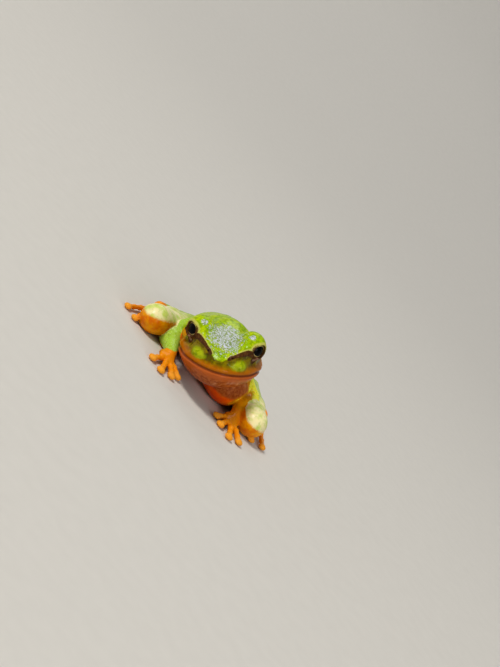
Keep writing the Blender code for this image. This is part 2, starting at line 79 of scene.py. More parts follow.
# Head rows: how far forward of the eyes, half width at the lips, height above the lips, depth of
# the lower jaw, squareness and narrowing of the top.
HEAD_ROWS = [
    (6.25, 0.30, 0.30, 0.25, 2.2, 0.10),
    (6.10, 1.15, 1.00, 0.85, 2.3, 0.15),
    (5.75, 2.00, 1.60, 1.50, 2.5, 0.25),
    (5.10, 3.00, 2.25, 2.15, 2.7, 0.34),
    (4.20, 3.95, 2.90, 2.75, 2.9, 0.40),
    (3.00, 4.90, 3.60, 3.25, 3.0, 0.42),
    (1.50, 5.55, 4.15, 3.55, 2.9, 0.44),
    (0.00, 5.95, 4.55, 3.75, 2.7, 0.44),
    (-2.00, 6.20, 4.85, 4.00, 2.4, 0.42),
    (-4.00, 6.15, 5.10, 4.30, 2.2, 0.40),
]
# Trunk rows: y, centre x and z, roll in degrees, half width, height, depth, and the same two.
TRUNK_ROWS = [
    (6.2, 0.50, 6.25, 26.0, 5.90, 4.60, 4.80, 2.2, 0.34),
    (8.8, 0.05, 5.80, 20.5, 5.80, 4.50, 5.10, 2.3, 0.26),
    (12.6, -0.25, 5.00, 12.0, 5.85, 4.30, 4.95, 2.3, 0.16),
    (16.5, 0.10, 4.35, 10.0, 6.05, 3.95, 4.70, 2.1, 0.08),
    (20.5, 0.70, 3.95, 5.0, 5.50, 3.65, 4.25, 2.2, 0.06),
    (24.5, 0.80, 3.60, 4.0, 4.40, 2.95, 3.30, 2.2, 0.08),
    (27.5, 0.85, 3.30, 3.0, 3.35, 2.20, 2.50, 2.1, 0.05),
    (29.5, 0.85, 3.05, 3.0, 2.25, 1.50, 1.70, 2.0, 0.00),
    (30.7, 0.85, 2.90, 3.0, 1.15, 0.80, 0.90, 2.0, 0.00),
    (31.1, 0.85, 2.85, 3.0, 0.30, 0.20, 0.20, 2.0, 0.00),
]
tilt = Matrix.Rotation(math.radians(HEAD_PITCH), 3, "X")
tilt = tilt @ Matrix.Rotation(-math.radians(HEAD_ROLL), 3, "Y")
rows = []
for ahead, width, top, bottom, square, narrow in HEAD_ROWS:
    centre = EYE_MIDDLE + np.array(tilt @ Vector((0, -ahead, -LIP_DROP)))
    rows.append((centre[1], centre[0], centre[2], HEAD_ROLL, width, top, bottom, square, narrow))
rows = np.array(rows + TRUNK_ROWS)


def even_rows(table, where):
    """The table's columns at each place in its first column, by a cubic that never overshoots."""
    x, values = table[:, 0], table[:, 1:]
    step = np.diff(x)[:, None]
    slope = np.diff(values, axis=0) / step
    tangent = np.zeros_like(values)
    mean = (slope[:-1] + slope[1:]) / 2
    cap = 3 * np.minimum(abs(slope[:-1]), abs(slope[1:]))
    turn_back = slope[:-1] * slope[1:] <= 0
    tangent[1:-1] = np.where(turn_back, 0, np.sign(mean) * np.minimum(abs(mean), cap))
    tangent[0], tangent[-1] = slope[0], slope[-1]
    i = np.clip(np.searchsorted(x, where) - 1, 0, len(x) - 2)
    t = ((where - x[i]) / (x[i + 1] - x[i]))[:, None]
    start = values[i] * (1 + 2 * t) + tangent[i] * step[i] * t
    end = values[i + 1] * (3 - 2 * t) - tangent[i + 1] * step[i] * (1 - t)
    return start * (1 - t) ** 2 + end * t * t


def unbend(x, y):
    """Takes the turn of the head out of a place, fading through the neck to none at the trunk."""
    fade = np.clip((y - NECK_FRONT) / NECK_LENGTH, 0, 1)
    turn = math.radians(HEAD_YAW) * (1 - fade * fade * (3 - 2 * fade))
    return x * np.cos(turn) + y * np.sin(turn), y * np.cos(turn) - x * np.sin(turn)


def in_section(x, y, z):
    """The section of the body that a place is in, and how far across and up it lies there."""
    x, y = unbend(x, y)
    where = np.clip(y, rows[0, 0], rows[-1, 0])
    columns = even_rows(rows, where.ravel()).T.reshape(8, *where.shape)
    roll = np.radians(columns[2])
    across = (x - columns[0]) * np.cos(roll) + (z - columns[1]) * np.sin(roll)
    up = (z - columns[1]) * np.cos(roll) - (x - columns[0]) * np.sin(roll)
    return y, columns, across, up


flesh = np.full(count, FAR, np.float32)
part, (x, y, z) = cut_block(*BODY_CORNERS)
y, columns, across, up = in_section(x, y, z)
wide, top, bottom, square, narrow = columns[3:]
upper = up > 0
height = np.where(upper, top, bottom)
power = np.where(upper, square, UNDERSIDE_SQUARENESS)
level_wide = wide * (1 - narrow * np.clip(up / top, 0, 1.2))
share = (np.abs(across / level_wide) ** power + np.abs(up / height) ** power) ** (1 / power)
radial = np.sqrt(across**2 + up**2)
body = radial * (1 - 1 / np.maximum(share, 0.05))
past = np.maximum(rows[0, 0] - y, y - rows[-1, 0])
body = np.where(past > 0, np.maximum(body, past), body)
steep = np.sqrt(sum(g * g for g in np.gradient(body, GRAIN)))
flesh[part] = np.clip(body / np.clip(steep, 0.6, 3.0), -FAR, FAR)

# Chest, rump and back. The chest is soft and settles on the ground under its own weight, the rump
# is full on both sides of the vent, and hip bones and backbone lift the skin in low ridges.
SPARE_ROOM = 0.4
CHEST_CENTRE, CHEST_RADII = (3.5, 8.7, 3.2), (5.3, 6.3, 3.2)
BREAST_CENTRE, BREAST_RADII = (5.3, 6.6, 1.9), (2.5, 3.2, 1.9)
HIP_BONE_RADII = (1.0, 2.4, 1.0)
RUMP_RADII = (2.6, 3.9, 2.3)
BACKBONE = [(0.7, 18.5, 7.1), (0.8, 24.0, 5.8), (0.85, 29.0, 3.9)]


def melt(a, b, blend):
    """Joins two forms, with a rounded valley between them as wide as blend."""
    near = np.maximum(blend - np.abs(a - b), 0)
    return np.minimum(a, b) - near * near / (4 * blend)


def rod(points, start, end, start_radius, end_radius):
    """Distance to a tapered round rod."""
    start, end = np.asarray(start, float), np.asarray(end, float)
    way = end - start
    offset = [p - s for p, s in zip(points, start)]
    length = max(way.dot(way), 1e-9)
    along = np.clip(sum(o * w for o, w in zip(offset, way)) / length, 0, 1)
    square = sum((o - along * w) ** 2 for o, w in zip(offset, way))
    return np.sqrt(square) - (start_radius + along * (end_radius - start_radius))


def lump(points, centre, radii, turn=None):
    """Distance to an ellipsoid, whose axes are the rows of turn."""
    offset = [p - c for p, c in zip(points, centre)]
    if turn is not None:
        offset = [sum(o * t for o, t in zip(offset, row)) for row in turn]
    scaled = [o / r for o, r in zip(offset, radii)]
    first = np.sqrt(sum(s * s for s in scaled)) + 1e-6
    second = np.sqrt(sum((s / r) ** 2 for s, r in zip(scaled, radii))) + 1e-6
    return first * (first - 1) / second


def add_rods(field, path, radii, blend, join=melt):
    """Melts a chain of rods into a field."""
    path = [np.asarray(p, float) for p in path]
    room = max(radii) + blend + SPARE_ROOM
    part, points = cut_block(np.min(path, axis=0) - room, np.max(path, axis=0) + room)
    chain = None
    for i in range(len(path) - 1):
        piece = rod(points, path[i], path[i + 1], radii[i], radii[i + 1])
        chain = piece if chain is None else np.minimum(chain, piece)
    field[part] = join(field[part], chain, blend)


def add_lump(field, centre, radii, blend, turn=None, join=melt):
    """Melts an ellipsoid into a field."""
    centre = np.asarray(centre, float)
    room = max(radii) + blend + SPARE_ROOM
    part, points = cut_block(centre - room, centre + room)
    field[part] = join(field[part], lump(points, centre, radii, turn), blend)


add_lump(flesh, CHEST_CENTRE, CHEST_RADII, 1.2)
add_lump(flesh, BREAST_CENTRE, BREAST_RADII, 1.2)
for side in (1, -1):
    add_lump(flesh, (0.7 + side * 2.5, 18.6, 6.5), HIP_BONE_RADII, 1.8)
    add_lump(flesh, (0.8 + side * 2.9, 24.6, 2.8), RUMP_RADII, 1.4)
add_rods(flesh, BACKBONE, (0.5, 0.5, 0.4), 1.6)

# Head: eye bulges with their brows, the low ridge from eye to nostril with the hollow below it,
# and the two soft swellings of the upper lip under the nostrils. All is flesh over a thin skull,
# placed from the middle of the eyes: to the frog's left, forward and up.
EYE_SPREAD = 3.95
EYEBALL = 1.6
EYE_BULGE = 1.9
RIDGE = [(3.3, 1.8, -0.15), (2.65, 3.4, -0.65), (1.75, 4.7, -1.15)]
RIDGE_RADII = (0.6, 0.5, 0.4)
head_turn = np.array(Matrix.Rotation(math.radians(HEAD_YAW), 3, "Z") @ tilt)
LEFTWARD, FORWARD, CROWNWARD = head_turn[:, 0], -head_turn[:, 1], head_turn[:, 2]


def in_head(left, forward, up):
    """A place given from the middle of the eyes, in the head's own directions."""
    return EYE_MIDDLE + left * LEFTWARD + forward * FORWARD + up * CROWNWARD


def hollow(a, b, blend):
    """Takes form b out of form a, with a rounded rim."""
    return -melt(-a, b, blend)


for side in (1, -1):
    add_lump(flesh, in_head(side * EYE_SPREAD, 0, 0), (EYE_BULGE,) * 3, 0.9)
    add_lump(flesh, in_head(side * 3.75, -0.15, 0.45), (1.85, 2.0, 1.75), 0.9, head_turn.T)
    add_lump(flesh, in_head(side * 3.9, -1.7, -0.5), (1.8, 2.0, 1.7), 0.9, head_turn.T)
    ridge = [in_head(side * left, forward, up) for left, forward, up in RIDGE]
    add_rods(flesh, ridge, RIDGE_RADII, 0.9)
    add_lump(flesh, in_head(side * 5.3, 2.6, -1.7), (0.5, 1.5, 0.5), 1.0, head_turn.T, hollow)
    add_lump(flesh, in_head(side * 1.75, 4.85, -1.1), (0.45,) * 3, 0.4)
    add_lump(flesh, in_head(side * 2.8, 3.9, -1.95), (1.2, 1.1, 0.7), 0.5, head_turn.T)

# Lips and mouth. The lips are soft rims of skin that run round the jaw at the level of its widest
# section. They are closed on each other, with a fine groove between them from corner to corner.
MOUTH_CENTRE = -1.2
MOUTH_LENGTH = 7.4
MOUTH_WIDTH = 6.3
MOUTH_POINTS = 41
CORNER_DROOP = 0.5
DROOP_START, DROOP_LENGTH = 0.6, 3
HUB_FRONT = 1.5
LONGEST_REACH = 9.0
REACH_STEP = 0.04


def reach(start, way):
    """Where a straight line from inside the flesh comes out through the skin."""
    way = np.asarray(way, float) / np.linalg.norm(way)
    steps = np.arange(0, LONGEST_REACH, REACH_STEP)
    spots = np.asarray(start) + steps[:, None] * way
    cell = np.clip((spots - BLOCK_LOW) / GRAIN, 0, count - 1.001)
    base = cell.astype(int)
    rest = cell - base
    value = 0
    for corner in np.ndindex(2, 2, 2):
        weight = np.prod(np.where(corner, rest, 1 - rest), axis=1)
        value = value + weight * flesh[tuple((base + corner).T)]
    outside = np.nonzero(value > 0)[0]
    return spots[outside[0]] if len(outside) else spots[-1]


def lip_path(rise, inset, back):
    """Points round the mouth from the left corner to the right one."""
    path = []
    for turn in np.linspace(-1, 1, MOUTH_POINTS):
        angle = turn * math.acos((back - MOUTH_CENTRE) / MOUTH_LENGTH)
        forward = MOUTH_CENTRE + MOUTH_LENGTH * math.cos(angle)
        behind = min(max(DROOP_START - forward, 0), DROOP_LENGTH)
        droop = CORNER_DROOP * behind / DROOP_LENGTH
        hub = in_head(0, min(forward, HUB_FRONT), rise - LIP_DROP - droop)
        way = LEFTWARD * math.sin(-angle) * MOUTH_WIDTH + FORWARD * max(forward - HUB_FRONT, 0)
        skin = reach(hub, way)
        path.append(skin - inset * way / np.linalg.norm(way))
    return path


def fullness(taper, power):
    """How full a lip is at each of its points: whole in the middle, thin towards both corners."""
    return np.sin(np.linspace(taper, math.pi - taper, MOUTH_POINTS)) ** power


upper_lip = lip_path(0.42, 0.22, -2.4)
lower_lip = lip_path(-0.42, 0.2, -2.4)
add_rods(flesh, upper_lip, 0.35 * fullness(0.3, 0.5), 0.35)
add_rods(flesh, lower_lip, 0.27 * fullness(0.3, 0.5), 0.45)
mouth_line = lip_path(0.0, 0.0, -2.6)
add_rods(flesh, mouth_line, 0.17 * fullness(0.12, 0.3), 0.16, hollow)

# Eardrums: behind each eye a thin disc of skin is stretched in a round rim, and a soft fold of
# the skin above it runs from the eye down to the shoulder.
DRUM_RADIUS = 0.85
DRUM_RIM = 0.12
FOLD = [(5.2, -1.7, 0.0), (5.6, -3.2, -0.1), (5.9, -4.6, -0.9), (5.9, -6.2, -2.4)]
FOLD_RADII = (0.26, 0.34, 0.34, 0.2)
eardrums = []
for side in (1, -1):
    outward = side * LEFTWARD
    drum = reach(in_head(side * 2.0, -3.7, -1.4), outward - 0.12 * FORWARD)
    eardrums.append(drum)
    ring = []
    for turn in np.linspace(0, 2 * math.pi, 25):
        spot = drum - 0.3 * outward + DRUM_RADIUS * math.cos(turn) * FORWARD
        ring.append(reach(spot + DRUM_RADIUS * math.sin(turn) * CROWNWARD - outward, outward))
    add_lump(flesh, drum + 0.25 * outward, (0.35, 0.75, 0.75), 0.3, head_turn.T, hollow)
    add_rods(flesh, ring, [DRUM_RIM] * len(ring), 0.16)
    way = outward + 0.4 * CROWNWARD
    fold = [in_head(side * left, forward, up) for left, forward, up in FOLD]
    fold = [reach(spot - 2.0 * way, way) for spot in fold]
    add_rods(flesh, fold, FOLD_RADII, 0.35)

# Arms: upper arm, forearm and a hand of four fingers, soft flesh held bent with the elbow out and
# back. Each finger is given by how far it fans out, its length, and the share of it in the palm.
SHOULDER = {"left": (5.0, 7.8, 5.4), "right": (-4.2, 8.2, 5.2)}
ELBOW = {"left": (8.9, 8.8, 3.4), "right": (-6.5, 8.4, 1.55)}
WRIST = {"left": (9.2, 3.8, 1.3), "right": (-4.0, 1.6, 1.15)}
HAND_HEADING = {"left": 2.0, "right": -14.0}
FINGERS = [(-29.0, 5.2, 0.42), (-10.0, 6.6, 0.38), (8.0, 8.0, 0.36), (27.0, 6.7, 0.38)]
FINGER_THICKNESS, FINGER_DISC = 0.41, 0.70
DIGIT_LEVELS = (0.62, 0.66, 0.52, 0.40)
DIGIT_ROOT = 0.66
DIGIT_SHARES = (1.12, 0.98, 0.88, 0.92)
KNOB_SHARES = (1.16, 1.08, 1.04)
DISC_LEVEL, DISC_HEIGHT = 0.38, 0.40


def lengthwise(way):
    """The axes of an ellipsoid that lies along a direction in the level."""
    return [(way[1], -way[0], 0), (way[0], way[1], 0), (0, 0, 1)]


def digit_lines(root, heading, side, digits):
    """For each finger or toe: where it starts, its knuckle, its two joints and its tip."""
    outward = 1 if side == "left" else -1
    lines = []
    for fan, length, palm in digits:
        turns = [math.radians(heading + part * fan) * outward for part in (0.45, 1.15)]
        first, second = (np.array((math.sin(t), -math.cos(t), 0)) for t in turns)
        start = np.array(root) + first * 0.4
        knuckle = np.array(root) + first * length * palm
        rest = second * length * (1 - palm)
        spots = [start, knuckle, knuckle + rest * 0.42, knuckle + rest * 0.72, knuckle + rest]
        for spot, level in zip(spots, (root[2] - 0.2, *DIGIT_LEVELS)):
            spot[2] = level
        lines.append(spots)
    return lines


def add_digits(field, lines, thickness, disc):
    """Lays the digits: slim bones with knobs at the joints, pads below, and a disc at the tip."""
    for spots in lines:
        add_rods(field, spots, [DIGIT_ROOT] + [thickness * s for s in DIGIT_SHARES], 0.35)
        for spot, knob in zip(spots[1:4], KNOB_SHARES):
            add_lump(field, spot, (thickness * knob,) * 3, 0.2)
            below = np.array(spot) - (0, 0, thickness * 0.85)
            add_lump(field, below, (0.24, 0.24, 0.2), 0.12)
        way = spots[-1] - spots[-2]
        way = way[:2] / np.linalg.norm(way[:2])
        tip = np.array((*spots[-1][:2], DISC_LEVEL))
        add_lump(field, tip, (disc, disc * 0.94, DISC_HEIGHT), 0.3, lengthwise(way))


def limb_field():
    """An empty block for one limb."""
    return np.full(count, FAR, np.float32)


def limb_box(limb):
    """The corners of the part of the block that a limb's field has changed."""
    others = ((1, 2), (0, 2), (0, 1))
    changed = [np.nonzero((limb < FAR - 0.1).any(axis=other))[0] for other in others]
    low = [ruler[c[0]] for ruler, c in zip(rulers, changed)]
    high = [ruler[c[-1]] for ruler, c in zip(rulers, changed)]
    return low, high


def join_limb(limb, root, strong, weak, fade):
    """Melts a limb into the body: broadly at its root, and with a plain crease further out."""
    part, points = cut_block(*limb_box(limb))
    away = np.sqrt(sum((p - c) ** 2 for p, c in zip(points, root)))
    blend = np.clip(strong * (1 - away / fade), weak, strong)
    flesh[part] = melt(flesh[part], limb[part], blend)


hand_lines = {}
for side in ("left", "right"):
    shoulder, elbow, wrist = (np.array(t[side]) for t in (SHOULDER, ELBOW, WRIST))
    arm = limb_field()
    middle = (shoulder + elbow) / 2
    add_rods(arm, (shoulder, middle, elbow), (1.75, 1.55, 1.5), 0.3)
    bulge = elbow * 0.68 + wrist * 0.32
    add_rods(arm, (elbow, bulge, wrist), (1.5, 1.55, 0.86), 0.5)
    add_lump(arm, bulge + (0, 0, 0.15), (1.65, 2.4, 1.6), 0.6)
    add_lump(arm, wrist + (0, -1.5, -0.5), (1.35, 1.9, 0.62), 0.5)
    hand_lines[side] = digit_lines(wrist, HAND_HEADING[side], side, FINGERS)
    add_digits(arm, hand_lines[side], FINGER_THICKNESS, FINGER_DISC)
    join_limb(arm, shoulder, strong=1.2, weak=0.12, fade=4.0)

# Hind legs: thigh, shank and tarsus folded like a Z beside the belly, strong flesh over long
# bones, and a long foot of five toes with a thin web of skin between each two.
HIP = {"left": (3.5, 23.7, 2.5), "right": (-2.0, 24.0, 2.5)}
KNEE = {"left": (11.7, 4.3, 2.25), "right": (-9.4, 4.4, 2.15)}
HEEL = {"left": (8.4, 24.0, 1.6), "right": (-5.9, 23.4, 1.6)}
ANKLE = {"left": (12.6, 17.6, 1.05), "right": (-10.8, 16.6, 1.05)}
FOOT_HEADING = {"left": 1.0, "right": 0.0}
TOES = [
    (-14.0, 7.8, 0.48),
    (-8.0, 10.0, 0.42),
    (-3.0, 12.2, 0.38),
    (3.0, 13.4, 0.36),
    (15.0, 12.0, 0.40),
]
TOE_THICKNESS, TOE_DISC = 0.38, 0.64
WEB_LEVEL = 0.42
WEB_HALF_THICKNESS = 0.2


def add_web(field, first, second):
    """A thin skin stretched between two toes, hollowed out towards the palm."""
    root = (first[0] + second[0]) / 2
    rims = [line[1] + (line[4] - line[1]) * 0.42 for line in (first, second)]
    middle = (rims[0] + rims[1]) / 2 * 0.62 + root * 0.38
    corners = [root[:2], rims[0][:2], middle[:2], rims[1][:2]]
    low = np.append(np.min(corners, axis=0) - 0.7, 0.0)
    high = np.append(np.max(corners, axis=0) + 0.7, 1.1)
    part, (x, y, z) = cut_block(low, high)
    away = np.full(np.broadcast_shapes(x.shape, y.shape), 9.0)
    inside = np.zeros_like(away, bool)
    for (ax, ay), (bx, by) in zip(corners, corners[1:] + corners[:1]):
        wx, wy = bx - ax, by - ay
        t = np.clip(((x - ax) * wx + (y - ay) * wy) / (wx * wx + wy * wy), 0, 1)
        away = np.minimum(away, np.hypot(x - ax - t * wx, y - ay - t * wy))
        crosses = (ay > y) != (by > y)
        if abs(by - ay) > 1e-9:
            inside ^= crosses & (x < ax + (y - ay) * wx / (by - ay))
    sheet = np.where(inside, -away, away)
    web = np.maximum(sheet - 0.1, np.abs(z - WEB_LEVEL) - WEB_HALF_THICKNESS)
    field[part] = melt(field[part], web, 0.25)


foot_lines = {}
for side in ("left", "right"):
    hip, knee, heel, ankle = (np.array(t[side]) for t in (HIP, KNEE, HEEL, ANKLE))
    thigh, shank, foot = limb_field(), limb_field(), limb_field()
    along = (knee - hip) / np.linalg.norm(knee - hip)
    add_rods(thigh, (hip, (hip + knee) / 2, knee), (2.0, 1.95, 1.9), 0.4)
    add_lump(thigh, knee - 1.0 * along, (2.2, 3.2, 2.12), 1.0, lengthwise(along))
    add_lump(thigh, hip * 0.58 + knee * 0.42, (2.6, 6.0, 1.95), 0.8, lengthwise(along))
    along = (heel - knee) / np.linalg.norm(heel - knee)
    calf = knee * 0.66 + heel * 0.34 + (0, 0, 0.1)
    add_rods(shank, (knee, (knee + heel) / 2, heel), (1.9, 1.6, 1.05), 0.4)
    add_lump(shank, knee + 1.2 * along, (2.1, 3.4, 2.1), 1.0, lengthwise(along))
    add_lump(shank, calf, (1.95, 4.6, 1.95), 0.8, lengthwise(along))
    add_rods(foot, (heel, (heel + ankle) / 2, ankle), (1.1, 0.9, 0.92), 0.4)
    add_lump(foot, ankle + (0, -2.3, -0.42), (1.15, 3.0, 0.55), 0.5)
    lines = digit_lines(ankle, FOOT_HEADING[side], side, TOES)
    foot_lines[side] = lines
    add_digits(foot, lines, TOE_THICKNESS, TOE_DISC)
    for first, second in zip(lines, lines[1:]):
        add_web(foot, first, second)
    join_limb(thigh, hip, strong=1.6, weak=0.12, fade=7.0)
    join_limb(shank, knee, strong=1.5, weak=0.1, fade=3.0)
    join_limb(foot, heel, strong=0.8, weak=0.1, fade=2.0)

# Eyelids and nostrils. Each pair of lids is a thin soft rim round the opening that the eyeball
# looks through, and each nostril is a small pit. Then the whole form is cut level at the ground.
GAZE_ASIDE = math.radians(52.0)
GAZE_UP = math.radians(4.0)
LID_WIDE, LID_HIGH = 1.30, 1.08
LID_AWAY = 1.87
LID_RADIUS = 0.14
LID_OPENING = (1.24, 1.02, 1.9)
NOSTRIL_RADII = (0.16, 0.16, 0.2)
gazes = {}
lid_rims = {}
nostrils = []
for side, name in ((1, "left"), (-1, "right")):
    look = side * LEFTWARD * math.sin(GAZE_ASIDE) + FORWARD * math.cos(GAZE_ASIDE)
    look = look * math.cos(GAZE_UP) + CROWNWARD * math.sin(GAZE_UP)
    sideways = np.cross(CROWNWARD, look)
    sideways /= np.linalg.norm(sideways)
    upward = np.cross(look, sideways)
    gazes[name] = np.array((sideways, upward, look))
    eye = in_head(side * EYE_SPREAD, 0, 0)
    rim = []
    for turn in np.linspace(0, 2 * math.pi, 33):
        a, b = LID_WIDE * math.cos(turn), LID_HIGH * math.sin(turn)
        c = math.sqrt(max(LID_AWAY**2 - a * a - b * b, 0.1))
        rim.append(eye + a * sideways + b * upward + c * look)
    lid_rims[name] = rim
    add_rods(flesh, rim, [LID_RADIUS] * len(rim), 0.3)
    add_lump(flesh, eye + look * LID_OPENING[2], LID_OPENING, 0.12, gazes[name], hollow)
    nostril = reach(in_head(side * 1.2, 4.0, -1.3), in_head(side * 0.55, 1.1, 0.5) - EYE_MIDDLE)
    nostrils.append(nostril)
    add_lump(flesh, nostril, NOSTRIL_RADII, 0.12, join=hollow)
flesh = np.maximum(flesh, -rulers[2]).astype(np.float32)

# The skin itself: one closed moist sheet over the whole frog, a little slack over the flesh, that
# leaves only the eyes bare. Stray crumbs of the form are dropped and the sheet is smoothed once.
MOST_TRIANGLES = 190000
eye_boxes = [np.array(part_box(name)) * 1000 for name in ("eye_left", "eye_right")]
place_shift = np.mean(eye_boxes, axis=(0, 1)) - EYE_MIDDLE
volume = openvdb.FloatGrid(FAR)
volume.copyFromArray(flesh)
volume.transform = openvdb.createLinearTransform(voxelSize=GRAIN)
spots, squares = volume.convertToQuads(0.0)
spots = spots + BLOCK_LOW
skin_mesh = bpy.data.meshes.new("skin")
skin_mesh.from_pydata((spots + place_shift) / 1000, [], squares.tolist())
skin = bpy.data.objects.new("skin", skin_mesh)
bpy.context.scene.collection.objects.link(skin)
shape = bmesh.new()
shape.from_mesh(skin_mesh)
loose = set(shape.verts)
pieces = []
while loose:
    edge = [loose.pop()]
    found = set(edge)
    while edge:
        for link in edge.pop().link_edges:
            for vertex in link.verts:
                if vertex not in found:
                    found.add(vertex)
                    edge.append(vertex)
    loose -= found
    pieces.append(found)
pieces.sort(key=len)
bmesh.ops.delete(shape, geom=[v for p in pieces[:-1] for v in p], context="VERTS")
bmesh.ops.smooth_vert(shape, verts=shape.verts, factor=0.5)
bmesh.ops.recalc_face_normals(shape, faces=shape.faces)
shape.to_mesh(skin_mesh)
shape.free()
triangles = 2 * len(skin_mesh.polygons)
if triangles > MOST_TRIANGLES:
    fewer = skin.modifiers.new("fewer", "DECIMATE")
    fewer.ratio = MOST_TRIANGLES / triangles
    graph = bpy.context.evaluated_depsgraph_get()
    thinned = bpy.data.meshes.new_from_object(skin.evaluated_get(graph))
    skin.modifiers.clear()
    skin.data = skin_mesh = thinned
skin_mesh.name = "skin"
skin_mesh.shade_smooth()
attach(skin, "root")
fleshy = [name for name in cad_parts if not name.startswith("eye_")]
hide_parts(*fleshy)

# Markings of the skin. They are grown into it, so each is kept on the sheet itself, as how deep
# inside the marking a point lies: in millimetres, above 0 inside it and below 0 outside.
OUTSIDE = -9.0
BONES = (
    ("upper", SHOULDER, ELBOW, (1.6, 2.3)),
    ("fore", ELBOW, WRIST, (2.3, 1.9)),
    ("thigh", HIP, KNEE, (1.6, 2.9)),
    ("shank", KNEE, HEEL, (2.6, 1.8)),
    ("tarsus", HEEL, ANKLE, (1.6, 1.6)),
)
DIGIT_REACH = (1.4, 1.2, 0.9, 0.9, 1.1)
DISC_REACH = 0.95
verts = np.empty(len(skin_mesh.vertices) * 3)
skin_mesh.vertices.foreach_get("co", verts)
verts = verts.reshape(-1, 3) * 1000 - place_shift
facing = np.empty(len(verts) * 3)
skin_mesh.vertices.foreach_get("normal", facing)
facing = facing.reshape(-1, 3)
left, ahead, crown = ((verts - EYE_MIDDLE) @ np.array((LEFTWARD, FORWARD, CROWNWARD)).T).T
aside = np.abs(left)


def marking(name, depth, mesh=skin_mesh):
    """Keeps a marking on a piece for its material to read."""
    layer = mesh.attributes.new(name, "FLOAT", "POINT")
    layer.data.foreach_set("value", np.ascontiguousarray(depth, np.float32))


def inside_path(path, radii):
    """How deep each point of the skin lies inside a band along a path."""
    depth = np.full(len(verts), OUTSIDE)
    for a, b, ra, rb in zip(path, path[1:], radii, radii[1:]):
        way = np.asarray(b) - a
        along = np.clip((verts - a) @ way / max(way.dot(way), 1e-9), 0, 1)
        away = np.linalg.norm(verts - a - along[:, None] * way, axis=1)
        depth = np.maximum(depth, ra + along * (rb - ra) - away)
    return depth


length, section, across, up = in_section(*verts.T)
wide, top, bottom = section[3:6]
girth = np.degrees(np.arctan2(up, np.abs(across)))
limb_paths = {}
for side in ("left", "right"):
    for name, start, end, radii in BONES:
        limb_paths[name + side] = inside_path([np.array(start[side]), np.array(end[side])], radii)
digits = np.full(len(verts), OUTSIDE)
discs = np.full(len(verts), OUTSIDE)
for lines in (*hand_lines.values(), *foot_lines.values()):
    for line in lines:
        digits = np.maximum(digits, inside_path(line, DIGIT_REACH))
        discs = np.maximum(discs, DISC_REACH - np.linalg.norm(verts - line[-1], axis=1))
limb_depth = np.max(list(limb_paths.values()), axis=0)
on_limb = np.maximum(limb_depth, digits)
trunk_gap = np.hypot(across / wide, up / np.where(up > 0, top, bottom)) - 1
on_limb = np.minimum(on_limb, trunk_gap * 6 - 0.15)

# The stripe is dark brown skin. It runs from the nostril to the eye, round the eye, over the
# eardrum and along the flank, and rings a small paler patch that lies below and before each eye.
STRIPE = [
    (1.38, 5.18, -1.07),
    (1.50, 5.15, -0.93),
    (2.00, 4.77, -0.60),
    (2.75, 3.88, -0.32),
    (3.50, 2.50, -0.40),
    (3.90, 1.60, -0.70),
]
STRIPE_RADII = (0.26, 0.30, 0.29, 0.33, 0.45, 0.5)
REAR_RADII = (0.4, 1.05, 0.8, 0.3)
PATCH_RADIUS = 0.5
PATCH_RIM = 0.32
stripes = []
for side, drum in zip((1, -1), eardrums):
    hub = in_head(side * 2.0, 2.0, -1.8)
    front = [in_head(side * left, forward, up) for left, forward, up in STRIPE]
    front = [reach(hub, spot - hub) for spot in front]
    stripes.append(inside_path(front, STRIPE_RADII))
    outward = side * LEFTWARD
    rear = [
        in_head(side * 5.6, -2.1, -0.9),
        drum + 0.3 * CROWNWARD,
        reach(in_head(side * 2.0, -5.6, -1.7), outward),
        reach(in_head(side * 2.0, -8.6, -2.6), outward),
    ]
    stripes.append(inside_path(rear, REAR_RADII))
for side, name in ((1, "left"), (-1, "right")):
    rim = np.array(lid_rims[name])
    around = rim - in_head(side * EYE_SPREAD, 0, 0)
    ahead_of_eye = np.clip((around @ FORWARD - 1.2) / 0.8, 0, 1)
    under_eye = np.clip(-(around @ CROWNWARD) / 1.0, 0, 1)
    stripes.append(inside_path(rim, 0.2 + 0.2 * ahead_of_eye + 0.06 * under_eye))
patch_offset = np.array((aside - 4.95, ahead - 1.05, crown + 1.2))
eye_patch = PATCH_RADIUS - np.linalg.norm(patch_offset, axis=0)
patch_ring = np.minimum(eye_patch + PATCH_RIM, -eye_patch)
marking("stripe", np.maximum(np.max(stripes, axis=0), patch_ring))
marking("eye_patch", eye_patch)
marking("nostril", np.max([0.26 - np.linalg.norm(verts - n, axis=1) for n in nostrils], axis=0))

# The green of the back ends at a line that dips at the snout, climbs along the stripe and falls to
# the flank. It is given as pairs: on the snout how far aside and how high, on the cheek how far
# forward and how high, and on the trunk how far back and how many degrees up the side.
SNOUT_EDGE = [(0.0, -1.62), (0.6, -1.58), (1.2, -1.2), (1.5, -0.93)]
SNOUT_EDGE += [(2.0, -0.6), (2.75, -0.32), (3.6, -0.4), (5.0, -0.7)]
CHEEK_EDGE = [(-8.0, -2.8), (-5.6, -1.7), (-3.7, -1.1), (-1.2, -0.1), (1.5, -0.5)]
TRUNK_EDGE = [(4.2, 20), (8, 0), (14, -14), (31, -12)]
snout_edge = np.interp(aside, *zip(*SNOUT_EDGE))
cheek_edge = np.interp(ahead, *zip(*CHEEK_EDGE))
forward_share = np.clip((ahead - 0.8) / 1.4, 0, 1)
head_edge = snout_edge * forward_share + cheek_edge * (1 - forward_share)
edge_of_back = np.interp(length, *zip(*TRUNK_EDGE))
trunk_share = np.clip((length - 3.5) / 3.5, 0, 1)
back = (crown - head_edge) * (1 - trunk_share) + (girth - edge_of_back) / 12 * trunk_share
marking("trunk", trunk_share)

